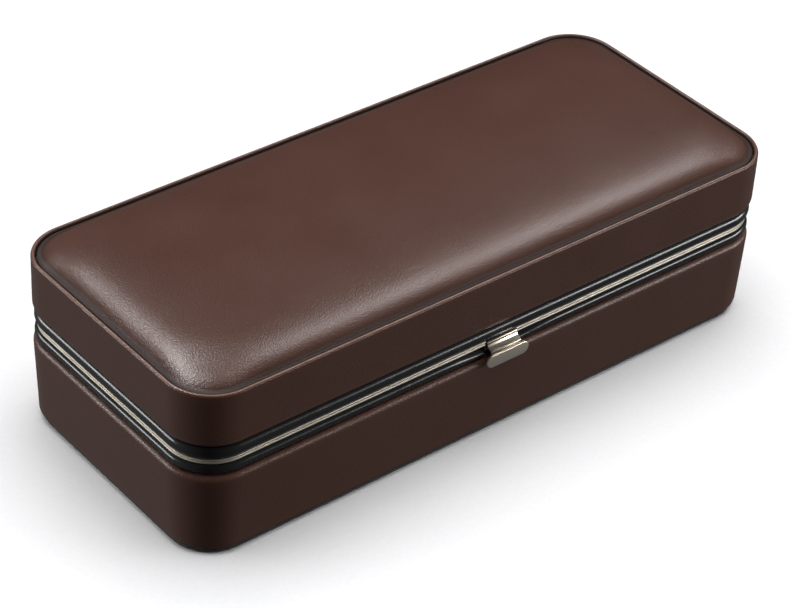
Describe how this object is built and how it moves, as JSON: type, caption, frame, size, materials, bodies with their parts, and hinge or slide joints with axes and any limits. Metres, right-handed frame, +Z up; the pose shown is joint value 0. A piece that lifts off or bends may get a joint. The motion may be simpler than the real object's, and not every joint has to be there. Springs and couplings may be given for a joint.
{
  "type": "watch box",
  "caption": "Long leather-covered watch box with a padded hinged lid, black bead frames, a press latch and lift-out cushions between dividers.",
  "frame": {"origin": "middle of the flat underside, on the surface that the box stands on", "axes": "+X along the length to the right of someone facing the latch, -Y towards the latch at the front, +Z up"},
  "size_m": [0.3, 0.1366, 0.0865],
  "materials": {
    "leather": "smooth fine-grain dark brown leather, semi-matt",
    "black_lacquer": "gloss black lacquer on steel",
    "nickel": "warm nickel plate, satin to polished",
    "board": "raw greyboard, hidden",
    "suede": "tan microsuede with a soft nap",
    "foam": "open-cell foam, hidden",
    "felt": "dark felt over a thin board",
    "steel": "plain drawn steel"
  },
  "bodies": {
    "base": {"bottom_panel": "felt", "base_shell": "board", "base_leather": "leather", "base_lining": "suede", "base_frame": "black_lacquer", "base_nickel_strip": "nickel", "divider_1": "suede", "divider_2": "suede", "divider_3": "suede", "divider_4": "suede", "hinge_base_leaf_left": "black_lacquer", "hinge_base_leaf_right": "black_lacquer", "hinge_pin_left": "steel", "hinge_pin_right": "steel", "hinge_base_rivet_left_1": "black_lacquer", "hinge_base_rivet_left_2": "black_lacquer", "hinge_base_rivet_right_1": "black_lacquer", "hinge_base_rivet_right_2": "black_lacquer", "latch_pin": "steel", "latch_spring": "steel"},
    "lid": {"lid_frame": "black_lacquer", "lid_nickel_strip": "nickel", "lid_shell": "board", "lid_leather_band": "leather", "lid_top_foam": "foam", "lid_top_leather": "leather", "lid_lining": "suede", "lid_inner_pad": "suede", "striker": "nickel", "hinge_lid_leaf_left": "black_lacquer", "hinge_lid_leaf_right": "black_lacquer", "hinge_lid_rivet_left_1": "black_lacquer", "hinge_lid_rivet_left_2": "black_lacquer", "hinge_lid_rivet_right_1": "black_lacquer", "hinge_lid_rivet_right_2": "black_lacquer"},
    "latch": {"latch_lever": "nickel"},
    "cushion_1": {"cushion_1_cover": "suede", "cushion_1_core": "foam"},
    "cushion_2": {"cushion_2_cover": "suede", "cushion_2_core": "foam"},
    "cushion_3": {"cushion_3_cover": "suede", "cushion_3_core": "foam"},
    "cushion_4": {"cushion_4_cover": "suede", "cushion_4_core": "foam"},
    "cushion_5": {"cushion_5_cover": "suede", "cushion_5_core": "foam"}
  },
  "joints": [
    {"name": "lid_hinge", "type": "hinge", "parent": "base", "child": "lid", "pos_m": [0, 0.0663, 0.04665], "axis": [-1, 0, 0], "range_deg": [0, 100]},
    {"name": "latch_press", "type": "hinge", "parent": "base", "child": "latch", "pos_m": [0, -0.0615, 0.0433], "axis": [1, 0, 0], "range_deg": [0, 12], "stiffness_Nm_per_rad": 0.02, "springref_deg": -22.92},
    {"name": "cushion_1_lift", "type": "slide", "parent": "base", "child": "cushion_1", "axis": [0, 0, 1], "range_m": [0, 0.017]},
    {"name": "cushion_2_lift", "type": "slide", "parent": "base", "child": "cushion_2", "axis": [0, 0, 1], "range_m": [0, 0.017]},
    {"name": "cushion_3_lift", "type": "slide", "parent": "base", "child": "cushion_3", "axis": [0, 0, 1], "range_m": [0, 0.017]},
    {"name": "cushion_4_lift", "type": "slide", "parent": "base", "child": "cushion_4", "axis": [0, 0, 1], "range_m": [0, 0.017]},
    {"name": "cushion_5_lift", "type": "slide", "parent": "base", "child": "cushion_5", "axis": [0, 0, 1], "range_m": [0, 0.017]}
  ]
}
